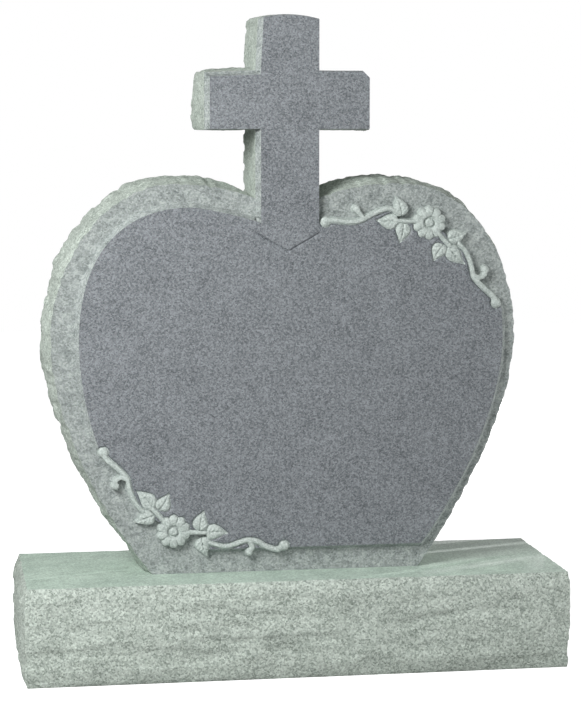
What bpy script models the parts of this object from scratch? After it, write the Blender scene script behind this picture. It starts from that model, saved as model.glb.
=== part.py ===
# Heart headstone: a granite heart with a cross standing out of its cleft, on a low plinth.
# Metres, +Z up, the front looks towards -Y. The origin is the middle of the plinth's underside.

from math import cos, pi, sin, sqrt

import bmesh
import bpy
from mathutils import Vector, noise

# Plinth: sawn top and underside, four rock-pitched sides
PLINTH_WIDTH = 0.9144
PLINTH_DEPTH = 0.3048
PLINTH_HEIGHT = 0.165
PLINTH_SWELL = 0.017
PLINTH_STEP = 0.024
PLINTH_SHARES = ((0, 0), (0.16, 0.85), (0.38, 1), (0.62, 1), (0.86, 0.9), (1, 0))

# Tablet: one slab that holds the heart and the cross
JOINT_GAP = 0.0003
TABLET_THICKNESS = 0.152
TABLET_STEP = 0.012
TABLET_SHARES = ((0, 0), (0.27, 0.75), (0.5, 0.95), (0.75, 1), (1, 1))

# Heart outline at its front arris, heights measured from the tablet's foot
HEART_X = -0.0135
HEART_FOOT_HALF = 0.228
HEART_HALF_WIDTH = 0.396
HEART_WIDEST = 0.394
HEART_LOBE_X = 0.190
HEART_LOBE_TOP = 0.657
HEART_CLEFT = 0.632
HEART_SWELL = 0.016
HEART_RIGHT_PULLS = (0.05, 0.40, 0.48, 0.68, 0.12, 0.45)
HEART_LEFT_PULLS = (0.12, 0.41, 0.50, 0.56, 0.12, 0.45)
FOOT_LEAN = 0.40
FOOT_CLIMB = 0.85
CLEFT_SLOPE = 0.42

# Raised panel inside the heart, and the margin that is cut down around it
PANEL_X = -0.0018
PANEL_SIDE_MARGIN = 0.0355
PANEL_FOOT_MARGIN = 0.0420
PANEL_LOBE_MARGIN = 0.0390
PANEL_CLEFT_MARGIN = 0.0405
PANEL_LOBE_SHIFT = 0.0150
PANEL_FOOT_INSET = 0.0080
PANEL_RIGHT_PULLS = (0.05, 0.45, 0.72, 0.54, 0.22, 0.10)
PANEL_LEFT_PULLS = (0.40, 0.27, 0.72, 0.54, 0.22, 0.10)
MARGIN_DEPTH = 0.012
STEP_RUN = 0.0070
STEP_LEDGE = 0.0008
STEP_EMBED = 0.0010

# Cross at its pitched outline, heights measured from the tablet's foot
CROSS_X = -0.0115
CROSS_WIDTH = 0.1076
CROSS_SPAN = 0.2786
CROSS_ARM_BOTTOM = 0.7462
CROSS_ARM_HEIGHT = 0.0983
CROSS_ARM_DROP = 0.0035
CROSS_CHIP = 0.0115
CROSS_TOP = 0.9300
CROSS_ARCH = 0.0072
HEAD_STEPS = 5
HEAD_LEAN = 0.0045
HEAD_DROP = 0.0025
CROSS_FOOT_DROP = 0.017
CROSS_POINT_DROP = 0.031
SHAFT_SWELL = 0.001
ARM_UNDER_SWELL = 0.0012
ARM_END_SWELL = 0.0095
ARM_TOP_SWELL = 0.0085
HEAD_SWELL = 0.003
CROWNED = (HEAD_SWELL, ARM_TOP_SWELL)
GROOVE_HALF_WIDTH = 0.0024

# How far the cross's face stops short of the pitched outline: on its left, and elsewhere
FACE_INSET_LEFT = STEP_RUN + STEP_LEDGE
FACE_INSET_TOP_LEFT = 0.0075
FACE_INSET = 0.0016
ARRIS_RUN = 0.0010

# Carved sprays: one flower, leaves and scrolls in each
FLOWER_RADIUS = 0.0280
FLOWER_SCALLOPS = 10
FLOWER_SCALLOP_DEPTH = 0.14
FLOWER_BUTTON = 0.0065
FLOWER_DISH = 0.0110
UPPER_FLOWER_OUT = 0.057
UPPER_FLOWER_DROP = 0.028
LOWER_FLOWER_IN = 0.015
LOWER_FLOWER_RISE = 0.032
LEAF_HALF_WIDTH = 0.0125
LEAF_SHARES = (0.0, 0.18, 0.38, 0.58, 0.78, 1.0)
LEAF_WIDTHS = (0.25, 0.85, 1.0, 0.82, 0.42, 0.0)
SCROLL_HALF_WIDTH = 0.0040
SCROLL_BALL = 0.0082
CURL_BALL = 0.0062
POCKET_REACH = 0.0284
CARVING_EDGE = 0.0015
CARVING_RISE = 0.0012
CARVING_STAGGER = 0.00002
BUTTON_RISE = 0.0002
EMBED = 0.0050

# Hollows left by the pitching chisel, broad ones and chips, as shares of the side's swell, and
# how the swell dies down at a corner
HOLLOW_CELL = 0.085
HOLLOW_SHARE = 0.35
CHIP_CELL = 0.034
CHIP_SHARE = 0.25
CORNER_REACH = 0.040
CORNER_SWELL = 0.30

# Finest details of the outlines: sides of a round, where two edges count as one, the sharpest
# mitre, and points that are one
ROUND_SIDES = 12
SAME_WAY = 0.2
MITRE_LIMIT = 0.6
MERGE_REACH = 0.00005

# Places that follow from the sizes above
PLINTH_TOP = PLINTH_HEIGHT
TABLET_FOOT = PLINTH_TOP + JOINT_GAP
FRONT_Y = -TABLET_THICKNESS / 2
MARGIN_Y = FRONT_Y + MARGIN_DEPTH
BACK_Y = TABLET_THICKNESS / 2
CROSS_HALF = CROSS_WIDTH / 2
CROSS_ARM_TOP = CROSS_ARM_BOTTOM + CROSS_ARM_HEIGHT
PANEL_HALF_WIDTH = HEART_HALF_WIDTH - PANEL_SIDE_MARGIN
PANEL_FOOT_HALF = HEART_FOOT_HALF - PANEL_FOOT_INSET
PANEL_LOBE_X = HEART_LOBE_X - PANEL_LOBE_SHIFT
PANEL_LOBE_TOP = HEART_LOBE_TOP - PANEL_LOBE_MARGIN
PANEL_CLEFT = HEART_CLEFT - PANEL_CLEFT_MARGIN
UPPER_FLOWER = (PANEL_X + PANEL_LOBE_X + UPPER_FLOWER_OUT, PANEL_LOBE_TOP - UPPER_FLOWER_DROP)
LOWER_FLOWER = (PANEL_X - PANEL_FOOT_HALF + LOWER_FLOWER_IN, PANEL_FOOT_MARGIN + LOWER_FLOWER_RISE)


# Scene and materials

for old in list(bpy.data.objects):
    bpy.data.objects.remove(old)


def new_collection(name):
    collection = bpy.data.collections.new(name)
    bpy.context.scene.collection.children.link(collection)
    return collection


def granite(name, colour, roughness):
    material = bpy.data.materials.new(name)
    material.use_nodes = True
    shader = material.node_tree.nodes["Principled BSDF"]
    shader.inputs["Base Color"].default_value = (*colour, 1.0)
    shader.inputs["Roughness"].default_value = roughness
    shader.inputs["Metallic"].default_value = 0.0
    return material


HEADSTONE = new_collection("heart_headstone")
TOOLS = new_collection("cutters")


# Outlines: lists of (x, z) points in the plane of the tablet's face

def bezier(start, pull_out, pull_in, end, count=24):
    """Points of one cubic stretch, both ends included."""
    points = []
    for i in range(count + 1):
        t = i / count
        s = 1 - t
        a, b, c, d = s ** 3, 3 * s * s * t, 3 * s * t * t, t ** 3
        points.append(tuple(a * p + b * q + c * r + d * e
                            for p, q, r, e in zip(start, pull_out, pull_in, end)))
    return points


def heart_side(foot, widest, lobe, cleft, pulls):
    """Right-hand side of a heart from its foot to its cleft, x from the heart's middle.

    The six pulls are shares of the stretch that they bend: leaving the foot, below and
    above the widest place, outside and inside the lobe's top, and arriving at the cleft.
    """
    low, below, above, outside, inside, arrive = pulls
    rise = widest[1] - foot[1]
    lean = (widest[0] - foot[0]) / rise
    crown = lobe[1] - widest[1]
    inner = lobe[0] - cleft[0]
    flank = bezier(foot,
                   (foot[0] + low * rise * (FOOT_LEAN + lean), foot[1] + low * rise * FOOT_CLIMB),
                   (widest[0], widest[1] - below * rise), widest)
    shoulder = bezier(widest, (widest[0], widest[1] + above * crown),
                      (lobe[0] + outside * (widest[0] - lobe[0]), lobe[1]), lobe)
    valley = bezier(lobe, (lobe[0] - inside * inner, lobe[1]),
                    (cleft[0] + arrive * inner, cleft[1] + arrive * inner * CLEFT_SLOPE), cleft)
    return flank + shoulder[1:] + valley[1:]


def cross_edges():
    """The cross's edges anticlockwise from its right cleft, cut off level with its shaft.

    Each is its starting corner, the swell of the pitched side behind it, how far the face
    stops short of it, and the run of the step or arris between the two.
    """
    half = CROSS_HALF
    span = CROSS_SPAN / 2
    low, high, top = CROSS_ARM_BOTTOM, CROSS_ARM_TOP, CROSS_TOP
    right = [((half, None), SHAFT_SWELL), ((half, low), ARM_UNDER_SWELL),
             ((span, low), ARM_END_SWELL), ((span, high - CROSS_CHIP), SHAFT_SWELL),
             ((span - CROSS_CHIP, high), SHAFT_SWELL), ((half, high), SHAFT_SWELL)]
    arch = []
    for i in range(HEAD_STEPS):
        share = 1 - 2 * i / HEAD_STEPS
        arch.append(((half * share, top + CROSS_ARCH * (1 - share * share)), HEAD_SWELL))
    edges = [(corner, swell, FACE_INSET, ARRIS_RUN) for corner, swell in right + arch]
    edges.append(((HEAD_LEAN - half, top - HEAD_DROP), SHAFT_SWELL, FACE_INSET_LEFT, STEP_RUN))
    edges.append(((-half, high), ARM_TOP_SWELL, FACE_INSET_TOP_LEFT, FACE_INSET_TOP_LEFT / 2))
    edges.append(((-span, high - CROSS_ARM_DROP), ARM_END_SWELL, FACE_INSET_LEFT, STEP_RUN))
    edges.append(((-span, low), ARM_UNDER_SWELL, FACE_INSET, ARRIS_RUN))
    edges.append(((-half, low), SHAFT_SWELL, FACE_INSET_LEFT, STEP_RUN))
    edges.append(((-half, None), 0.0, 0.0, 0.0))
    return edges


def stretches(centre, foot_half, foot_z, half_width, widest, lobe, cleft_z, pulls, inset_share):
    """Closed outline of heart and cross as stretches that meet in corners.

    Each stretch is a path, the swell of the pitched side behind it, whether the swell dies
    down towards its start and towards its end, and the run of the step outside it. The
    cross is drawn at its pitched outline with an inset_share of 0, and at its face with 1.
    """
    edges = cross_edges()
    outline = [(CROSS_X + x, cleft_z if z is None else z) for (x, z), _, _, _ in edges]
    corners = offset(outline, [-inset * inset_share for _, _, inset, _ in edges])
    sides = []
    for cleft, pull in zip((corners[0][0] - centre, centre - corners[-1][0]), pulls):
        sides.append(heart_side((foot_half, foot_z), (half_width, widest), lobe, (cleft, cleft_z), pull))
    right = [(centre + x, z) for x, z in sides[0]]
    left = [(centre - x, z) for x, z in reversed(sides[1])]
    runs = [([left[-1], right[0]], HEART_SWELL, False, False, STEP_RUN),
            (right, HEART_SWELL, False, True, STEP_RUN)]
    for a, b, (_, swell, _, run) in zip(corners, corners[1:], edges):
        runs.append(([a, b], swell, swell not in CROWNED, swell not in CROWNED, run))
    runs.append((left, HEART_SWELL, True, False, STEP_RUN))
    return runs


def resample(path, step):
    """Even points along a path, without its last point."""
    lengths = [0.0]
    for a, b in zip(path, path[1:]):
        lengths.append(lengths[-1] + sqrt((b[0] - a[0]) ** 2 + (b[1] - a[1]) ** 2))
    count = max(1, round(lengths[-1] / step))
    points = []
    k = 0
    for i in range(count):
        want = lengths[-1] * i / count
        while lengths[k + 1] < want:
            k += 1
        t = (want - lengths[k]) / (lengths[k + 1] - lengths[k])
        points.append(tuple(p + (q - p) * t for p, q in zip(path[k], path[k + 1])))
    return points


def closed_points(runs, step):
    """Points of a closed outline, with the pitched side's swell and the step's run at each."""
    points = []
    swells = []
    steps = []
    for path, swell, soft_start, soft_end, step_run in runs:
        part = resample(path, step)
        length = sum(sqrt((b[0] - a[0]) ** 2 + (b[1] - a[1]) ** 2) for a, b in zip(path, path[1:]))
        for i, point in enumerate(part):
            along = length * i / len(part)
            before = along if soft_start else CORNER_REACH
            after = length - along if soft_end else CORNER_REACH
            points.append(point)
            swells.append(swell * corner_share(min(before, after)))
            steps.append(step_run)
    return points, swells, steps


def edge_normals(points, i):
    """Outward normals of the two edges that meet at point i of an anticlockwise outline."""
    normals = []
    for a, b in ((points[i - 1], points[i]), (points[i], points[(i + 1) % len(points)])):
        normals.append(Vector((b[1] - a[1], a[0] - b[0])).normalized())
    return normals


def outward(points):
    """For each point of an anticlockwise outline, the step that offsets it by one unit."""
    steps = []
    for i in range(len(points)):
        before, after = edge_normals(points, i)
        normal = (before + after).normalized()
        steps.append(normal / max(MITRE_LIMIT, normal.dot(before)))
    return steps


def offset(points, reaches):
    """The outline with each edge moved out by its own reach, listed by the edge's first point."""
    moved = []
    for i, (x, z) in enumerate(points):
        before, after = edge_normals(points, i)
        turn = before.x * after.y - before.y * after.x
        a, b = reaches[i - 1], reaches[i]
        if abs(turn) < SAME_WAY:
            normal = (before + after).normalized()
            move = normal * (a + b) / 2
        else:
            move = Vector((a * after.y - b * before.y, b * before.x - a * after.x)) / turn
        moved.append((x + move.x, z + move.y))
    return moved


# Solids

def hollow(place):
    """Share of the swell that the chisel took away at a place on a pitched side."""
    near = noise.voronoi(place / HOLLOW_CELL)[0][0]
    chip = noise.voronoi(place / CHIP_CELL)[0]
    return HOLLOW_SHARE * max(0.0, 1 - 2 * near * near) + CHIP_SHARE * (1 - min(1.0, chip[1] - chip[0]))


def corner_share(distance):
    """Share of the full swell at this distance from a corner."""
    t = min(1.0, distance / CORNER_REACH)
    return CORNER_SWELL + (1 - CORNER_SWELL) * t * (2 - t)


def loft(name, loops, collection, material=None):
    """Closed solid through stacked loops of as many points each, with flat ends."""
    mesh = bpy.data.meshes.new(name)
    bm = bmesh.new()
    rings = [[bm.verts.new(place) for place in loop] for loop in loops]
    for low, high in zip(rings, rings[1:]):
        for i in range(len(low)):
            j = (i + 1) % len(low)
            bm.faces.new((low[i], low[j], high[j], high[i]))
    bm.faces.new(rings[0])
    bm.faces.new(rings[-1])
    bmesh.ops.recalc_face_normals(bm, faces=bm.faces)
    bm.to_mesh(mesh)
    bm.free()
    solid = bpy.data.objects.new(name, mesh)
    collection.objects.link(solid)
    if material:
        mesh.materials.append(material)
    return solid


def on_face(points, y):
    """The outline's points at depth y, raised from the tablet's foot to their place."""
    return [Vector((x, y, TABLET_FOOT + z)) for x, z in points]


def as_tool(solid):
    solid.hide_render = True
    solid.display_type = "WIRE"
    return solid


def combine(target, tool, operation):
    change = target.modifiers.new(tool.name, "BOOLEAN")
    change.operation = operation
    change.solver = "EXACT"
    change.object = as_tool(tool)


def build_plinth(material):
    """Block whose arrises are straight and whose sides swell between them."""
    corners = [(-PLINTH_WIDTH / 2, -PLINTH_DEPTH / 2), (PLINTH_WIDTH / 2, -PLINTH_DEPTH / 2),
               (PLINTH_WIDTH / 2, PLINTH_DEPTH / 2), (-PLINTH_WIDTH / 2, PLINTH_DEPTH / 2)]
    runs = [([a, b], PLINTH_SWELL, True, True, 0) for a, b in zip(corners, corners[1:] + corners[:1])]
    points, swells, _ = closed_points(runs, PLINTH_STEP)
    steps = outward(points)
    loops = []
    for height, share in PLINTH_SHARES:
        loop = []
        for (x, y), step, swell in zip(points, steps, swells):
            place = Vector((x, y, height * PLINTH_HEIGHT))
            push = share * swell * (1 - hollow(place))
            loop.append(place + Vector((step.x, step.y, 0)) * push)
        loops.append(loop)
    return loft("plinth", loops, HEADSTONE, material)


def build_body(material):
    """Slab from the margin's plane to the back, pitched all round, flat under its foot."""
    runs = stretches(HEART_X, HEART_FOOT_HALF, 0.0, HEART_HALF_WIDTH, HEART_WIDEST,
                     (HEART_LOBE_X, HEART_LOBE_TOP), HEART_CLEFT,
                     (HEART_RIGHT_PULLS, HEART_LEFT_PULLS), 0.0)
    points, swells, _ = closed_points(runs, TABLET_STEP)
    steps = outward(points)
    loops = []
    for depth, share in TABLET_SHARES:
        y = MARGIN_Y + depth * (BACK_Y - MARGIN_Y)
        loop = []
        for (x, z), step, swell in zip(points, steps, swells):
            place = Vector((x, y, TABLET_FOOT + z))
            push = share * swell * (1 - hollow(place))
            place += Vector((step.x, 0, step.y)) * push
            place.z = max(place.z, TABLET_FOOT)
            loop.append(place)
        loops.append(loop)
    return loft("heart_tablet", loops, HEADSTONE, material)


def build_face():
    """Raised panel and cross, one flush face with a sloped step down to the margin."""
    runs = stretches(PANEL_X, PANEL_FOOT_HALF, PANEL_FOOT_MARGIN, PANEL_HALF_WIDTH, HEART_WIDEST,
                     (PANEL_LOBE_X, PANEL_LOBE_TOP), PANEL_CLEFT,
                     (PANEL_RIGHT_PULLS, PANEL_LEFT_PULLS), 1.0)
    points, _, steps = closed_points(runs, TABLET_STEP)
    wide = offset(points, [step * (1 + STEP_EMBED / MARGIN_DEPTH) for step in steps])
    loops = [on_face(wide, MARGIN_Y + STEP_EMBED), on_face(points, FRONT_Y)]
    return loft("raised_face", loops, TOOLS)


# Carving: each outline function takes how far the outline is grown

def leaf(base, tip):
    along = Vector((tip[0] - base[0], tip[1] - base[1]))
    length = along.length
    along.normalize()
    across = Vector((-along.y, along.x))

    def outline(grow):
        points = []
        for side in (-1, 1):
            pairs = list(zip(LEAF_SHARES, LEAF_WIDTHS))
            if side == 1:
                pairs = pairs[-2::-1]
            for share, width in pairs:
                out = width * LEAF_HALF_WIDTH + grow * (1 if width else 0)
                reach = share * length + grow * (share * 2 - 1)
                place = Vector(base) + along * reach + across * side * out
                points.append((place.x, place.y))
        return points
    return outline


def disc(centre, radius, count, scallops=0):
    def outline(grow):
        points = []
        for i in range(count):
            turn = 2 * pi * i / count
            dent = 1.0
            if scallops:
                dent -= FLOWER_SCALLOP_DEPTH * (1 - abs(sin(scallops * turn / 2)))
            r = radius * dent + grow
            points.append((centre[0] + r * cos(turn), centre[1] + r * sin(turn)))
        return points
    return outline


def smooth_line(points, count=3):
    """Points of a soft curve through the given ones."""
    line = []
    padded = [points[0]] + list(points) + [points[-1]]
    for p, q, r, s in zip(padded, padded[1:], padded[2:], padded[3:]):
        for i in range(count):
            t = i / count
            line.append(tuple(0.5 * (2 * b + (c - a) * t + (2 * a - 5 * b + 4 * c - d) * t * t
                                     + (3 * b - a - 3 * c + d) * t ** 3)
                              for a, b, c, d in zip(p, q, r, s)))
    return line + [tuple(points[-1])]


def ribbon(points):
    """Stem of even width along a soft curve."""
    line = smooth_line(points)

    def outline(grow):
        half = SCROLL_HALF_WIDTH + grow
        right = []
        left = []
        for i, here in enumerate(line):
            ahead = line[min(i + 1, len(line) - 1)]
            back = line[max(i - 1, 0)]
            way = Vector((ahead[0] - back[0], ahead[1] - back[1])).normalized()
            right.append((here[0] + way.y * half, here[1] - way.x * half))
            left.append((here[0] - way.y * half, here[1] + way.x * half))
        return right + left[::-1]
    return outline


# One spray, measured from its flower's middle: leaves as (base, tip), stems as points
LEAVES = (((-0.048, 0.012), (-0.057, 0.044)), ((-0.055, 0.004), (-0.091, 0.005)),
          ((-0.045, -0.001), (-0.051, -0.033)), ((0.033, -0.028), (0.065, -0.017)),
          ((0.024, -0.038), (0.008, -0.064)), ((0.034, -0.041), (0.061, -0.070)))
STALKS = (((-0.058, 0.004), (-0.020, 0.002)), ((0.014, -0.016), (0.036, -0.040)))
SHORT_SCROLL = ((0.052, -0.036), (0.064, -0.050), (0.073, -0.072), (0.078, -0.092),
                (0.092, -0.108), (0.111, -0.125), (0.117, -0.137))
SHORT_CURL = ((0.077, -0.089), (0.088, -0.094), (0.096, -0.089), (0.097, -0.080))
UPPER_SCROLL = ((-0.057, 0.017), (-0.071, 0.024), (-0.096, 0.016), (-0.121, 0.004),
                (-0.144, 0.003), (-0.165, 0.005), (-0.178, 0.003))
UPPER_CURL = ((-0.112, 0.008), (-0.120, 0.016), (-0.126, 0.024))
LOWER_SCROLL = ((0.060, -0.021), (0.085, -0.028), (0.103, -0.025), (0.122, -0.019),
                (0.140, -0.021), (0.158, -0.031), (0.176, -0.036), (0.188, -0.030))
LOWER_CURL = ((0.128, -0.020), (0.134, -0.030), (0.128, -0.039))
POCKET_RIM = ((0.105, -0.020), (0.075, 0.035), (0.000, 0.055), (-0.055, 0.050))
POCKET_END = (-0.058, 0.004)
UPPER_POCKET_RIM = ((-0.120, 0.045), (-0.168, 0.030))


def spray(name, flower, turn, long_scroll, long_curl):
    """Named outlines of one spray; turn is 1 as drawn or -1 for half a turn."""
    def place(point, way=turn):
        return (flower[0] + way * point[0], flower[1] + way * point[1])

    shapes = []
    scrolls = [[place(p) for p in SHORT_SCROLL], [place(p) for p in SHORT_CURL],
               [place(p, 1) for p in long_scroll], [place(p, 1) for p in long_curl]]
    for i, line in enumerate(scrolls):
        shapes.append((f"{name}_scroll_{i}", ribbon(line)))
    for i, line in enumerate(scrolls):
        ball = SCROLL_BALL if i % 2 == 0 else CURL_BALL
        shapes.append((f"{name}_ball_{i}", disc(line[-1], ball, ROUND_SIDES)))
    for i, ends in enumerate(STALKS):
        shapes.append((f"{name}_stalk_{i}", ribbon([place(p) for p in ends])))
    for i, (base, tip) in enumerate(LEAVES):
        shapes.append((f"{name}_leaf_{i}", leaf(place(base), place(tip))))
    shapes.append((f"{name}_flower", disc(flower, FLOWER_RADIUS, 4 * FLOWER_SCALLOPS, FLOWER_SCALLOPS)))
    return shapes


def pocket(flower, turn, more_rim):
    """Where the margin takes the place of the panel, outside the short scroll and on."""
    last = (SHORT_SCROLL[-1][0] + POCKET_REACH, SHORT_SCROLL[-1][1])
    around = [(0.0, 0.0), *SHORT_SCROLL, last, *POCKET_RIM, *more_rim, POCKET_END]
    return [(flower[0] + turn * x, flower[1] + turn * z) for x, z in around]


def carve(tablet, face):
    """Cuts the pockets out of the raised face, then adds it and the carving to the slab."""
    front = FRONT_Y - CARVING_RISE
    upper_rim = (*UPPER_POCKET_RIM, *UPPER_SCROLL[-2::-1])
    sprays = (("upper", UPPER_FLOWER, 1, UPPER_SCROLL, UPPER_CURL, upper_rim),
              ("lower", LOWER_FLOWER, -1, LOWER_SCROLL, LOWER_CURL, ()))
    shapes = []
    for name, flower, turn, long_scroll, long_curl, more_rim in sprays:
        around = pocket(flower, turn, more_rim)
        loops = [on_face(around, MARGIN_Y + 2 * EMBED), on_face(around, FRONT_Y - EMBED)]
        combine(face, loft(f"{name}_pocket", loops, TOOLS), "DIFFERENCE")
        shapes += spray(name, flower, turn, long_scroll, long_curl)
    combine(tablet, face, "UNION")
    for i, (name, outline) in enumerate(shapes):
        top = front + i * CARVING_STAGGER
        loops = [on_face(outline(0), MARGIN_Y + EMBED), on_face(outline(0), top + CARVING_EDGE),
                 on_face(outline(-CARVING_EDGE), top)]
        combine(tablet, loft(name, loops, TOOLS), "UNION")
    for name, flower, *_ in sprays:
        dish = disc(flower, FLOWER_DISH, ROUND_SIDES)
        loops = [on_face(dish(0), front + CARVING_EDGE), on_face(dish(EMBED), front - EMBED)]
        combine(tablet, loft(f"{name}_dish", loops, TOOLS), "DIFFERENCE")
        button = disc(flower, FLOWER_BUTTON, ROUND_SIDES)
        loops = [on_face(button(0), MARGIN_Y), on_face(button(-CARVING_EDGE), front + BUTTON_RISE)]
        combine(tablet, loft(f"{name}_button", loops, TOOLS), "UNION")


def cut_groove(tablet):
    """Line that shows the cross's pointed foot on the flush face."""
    shoulder = PANEL_CLEFT - CROSS_FOOT_DROP
    path = ((CROSS_X - CROSS_HALF, shoulder), (CROSS_X, shoulder - CROSS_POINT_DROP),
            (CROSS_X + CROSS_HALF, shoulder))
    line = bpy.data.curves.new("groove_line", "CURVE")
    line.dimensions = "3D"
    run = line.splines.new("POLY")
    run.points.add(len(path) - 1)
    for point, (x, z) in zip(run.points, path):
        point.co = (x, FRONT_Y, TABLET_FOOT + z, 1)
    line.bevel_depth = GROOVE_HALF_WIDTH
    line.bevel_resolution = 0
    line.use_fill_caps = True
    wire = bpy.data.objects.new("groove_line", line)
    TOOLS.objects.link(wire)
    bpy.context.view_layer.update()
    seen = wire.evaluated_get(bpy.context.evaluated_depsgraph_get())
    mesh = bpy.data.meshes.new_from_object(seen)
    bm = bmesh.new()
    bm.from_mesh(mesh)
    bmesh.ops.remove_doubles(bm, verts=bm.verts, dist=MERGE_REACH)
    bmesh.ops.recalc_face_normals(bm, faces=bm.faces)
    bm.to_mesh(mesh)
    bm.free()
    groove = bpy.data.objects.new("groove", mesh)
    groove.matrix_world = wire.matrix_world
    TOOLS.objects.link(groove)
    bpy.data.objects.remove(wire)
    combine(tablet, groove, "DIFFERENCE")


PITCHED_GRANITE = granite("plinth_granite", (0.40, 0.44, 0.39), 0.85)
HONED_GRANITE = granite("tablet_granite", (0.24, 0.26, 0.26), 0.55)

build_plinth(PITCHED_GRANITE)
tablet = build_body(HONED_GRANITE)
carve(tablet, build_face())
cut_groove(tablet)
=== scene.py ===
import math

import bmesh
import bpy
import numpy as np
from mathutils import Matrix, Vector, geometry, noise


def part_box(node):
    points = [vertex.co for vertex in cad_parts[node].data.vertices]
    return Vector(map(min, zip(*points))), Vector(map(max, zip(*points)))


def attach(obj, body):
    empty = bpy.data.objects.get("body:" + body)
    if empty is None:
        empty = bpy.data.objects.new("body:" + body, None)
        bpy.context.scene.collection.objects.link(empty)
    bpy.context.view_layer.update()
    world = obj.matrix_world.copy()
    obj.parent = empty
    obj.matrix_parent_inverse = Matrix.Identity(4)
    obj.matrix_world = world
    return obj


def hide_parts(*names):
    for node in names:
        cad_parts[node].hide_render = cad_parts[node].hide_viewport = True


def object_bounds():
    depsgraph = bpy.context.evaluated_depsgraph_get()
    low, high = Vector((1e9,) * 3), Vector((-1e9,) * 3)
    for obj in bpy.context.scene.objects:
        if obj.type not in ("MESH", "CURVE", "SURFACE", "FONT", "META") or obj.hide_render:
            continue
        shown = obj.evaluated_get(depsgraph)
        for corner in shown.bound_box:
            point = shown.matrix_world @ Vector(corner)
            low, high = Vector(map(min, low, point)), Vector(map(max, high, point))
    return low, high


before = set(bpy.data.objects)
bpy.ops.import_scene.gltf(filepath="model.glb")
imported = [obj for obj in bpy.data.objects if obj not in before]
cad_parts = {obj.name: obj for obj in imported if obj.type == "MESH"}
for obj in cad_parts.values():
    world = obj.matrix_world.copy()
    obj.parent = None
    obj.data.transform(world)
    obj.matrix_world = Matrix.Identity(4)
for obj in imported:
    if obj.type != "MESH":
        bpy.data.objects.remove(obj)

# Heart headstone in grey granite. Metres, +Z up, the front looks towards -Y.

cad_low, cad_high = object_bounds()
bpy.ops.object.select_all(action="DESELECT")


# Plinth
# One sawn granite block. Its top is steeled flat, and its four sides are rock pitched: the mason
# strikes them with a pitching chisel, which leaves straight arrises and shell-shaped hollows.

PLINTH_SIZE = (0.9144, 0.3048, 0.1650)
PLINTH_SWELL = 0.017
PLINTH_KNOTS = ((0, 0), (0.03, 0.35), (0.16, 0.85), (0.38, 1),
                (0.62, 1), (0.86, 0.9), (0.97, 0.4), (1, 0))
PITCH_CELL = 0.003
CORNER_REACH = 0.040
CORNER_SWELL = 0.30
HOLLOW_CELL = 0.085
HOLLOW_SHARE = 0.35
CHIP_CELL = 0.034
CHIP_SHARE = 0.25
LEDGE_LENGTH = 0.10
LEDGE_HEIGHT = 0.020
LEDGE_DEPTH = 0.0022
LEDGE_FROM = 0.22
LEDGE_SLOPE = 0.08
FACET_CELL = 0.013
FACET_DEPTH = 0.0009
FACET_MEAN = 0.35
CRUMB_CELL = 0.010
CRUMB_DEPTH = 0.0006
ARRIS_CHIP_CELL = 0.016
ARRIS_CHIP_DEPTH = 0.0030
ARRIS_CHIP_SHARE = 0.25
ARRIS_CHIP_REACH = 0.012
CORNER_KEPT = 0.004
BOX_CLEARANCE = 0.0002
SAME_PLACE = 1e-5
SHARP_ANGLE = math.radians(40)
GRANITE_IOR = 1.54


def linear(hex_colour):
    """Linear RGBA of an sRGB hex colour."""
    parts = [int(hex_colour[i:i + 2], 16) / 255 for i in (1, 3, 5)]
    levels = [p / 12.92 if p <= 0.04045 else ((p + 0.055) / 1.055) ** 2.4 for p in parts]
    return (*levels, 1.0)


def add_node(tree, kind, settings=None, links=None, **values):
    """Adds a node: settings are its properties, values its sockets' constants, links its inputs."""
    node = tree.nodes.new(kind)
    for name, value in (settings or {}).items():
        setattr(node, name, value)
    for name, value in values.items():
        node.inputs[name.replace("_", " ")].default_value = value
    for name, source in (links or {}).items():
        tree.links.new(source, node.inputs[name])
    return node


def granite(name, dark, light, grain, cloud_size, strengths, roughness, relief):
    """Grey granite between a dark and a light mineral tone.

    The grain is the width of a crystal and cloud_size that of the paler and darker patches, in
    metres. The strengths say how much the crystals, the specks in them and the patches show.
    """
    material = bpy.data.materials.new(name)
    material.use_nodes = True
    tree = material.node_tree
    shader = tree.nodes["Principled BSDF"]
    place = add_node(tree, "ShaderNodeTexCoord").outputs["Object"]
    crystals = add_node(tree, "ShaderNodeTexVoronoi", links={"Vector": place}, Scale=1 / grain)
    tone = add_node(tree, "ShaderNodeSeparateColor", links={"Color": crystals.outputs["Color"]})
    specks = add_node(tree, "ShaderNodeTexNoise", links={"Vector": place}, Scale=1 / grain,
                      Detail=3.0, Roughness=0.7)
    patches = add_node(tree, "ShaderNodeTexNoise", links={"Vector": place}, Scale=1 / cloud_size,
                       Detail=3.0, Roughness=0.6)
    sources = (tone.outputs["Red"], specks.outputs["Fac"], patches.outputs["Fac"])
    level = None
    for source, strength in zip(sources, strengths):
        step = add_node(tree, "ShaderNodeMath", {"operation": "MULTIPLY_ADD"}, {0: source})
        step.inputs[1].default_value = strength
        if level:
            tree.links.new(level, step.inputs[2])
        else:
            step.inputs[2].default_value = (1 - sum(strengths)) / 2
        level = step.outputs[0]
    ramp = add_node(tree, "ShaderNodeValToRGB", links={"Fac": level})
    ramp.color_ramp.elements[0].color = linear(dark)
    ramp.color_ramp.elements[1].color = linear(light)
    tree.links.new(ramp.outputs["Color"], shader.inputs["Base Color"])
    bump = add_node(tree, "ShaderNodeBump", links={"Height": level}, Distance=relief, Strength=1.0)
    tree.links.new(bump.outputs["Normal"], shader.inputs["Normal"])
    shader.inputs["Roughness"].default_value = roughness
    shader.inputs["IOR"].default_value = GRANITE_IOR
    return material


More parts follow.
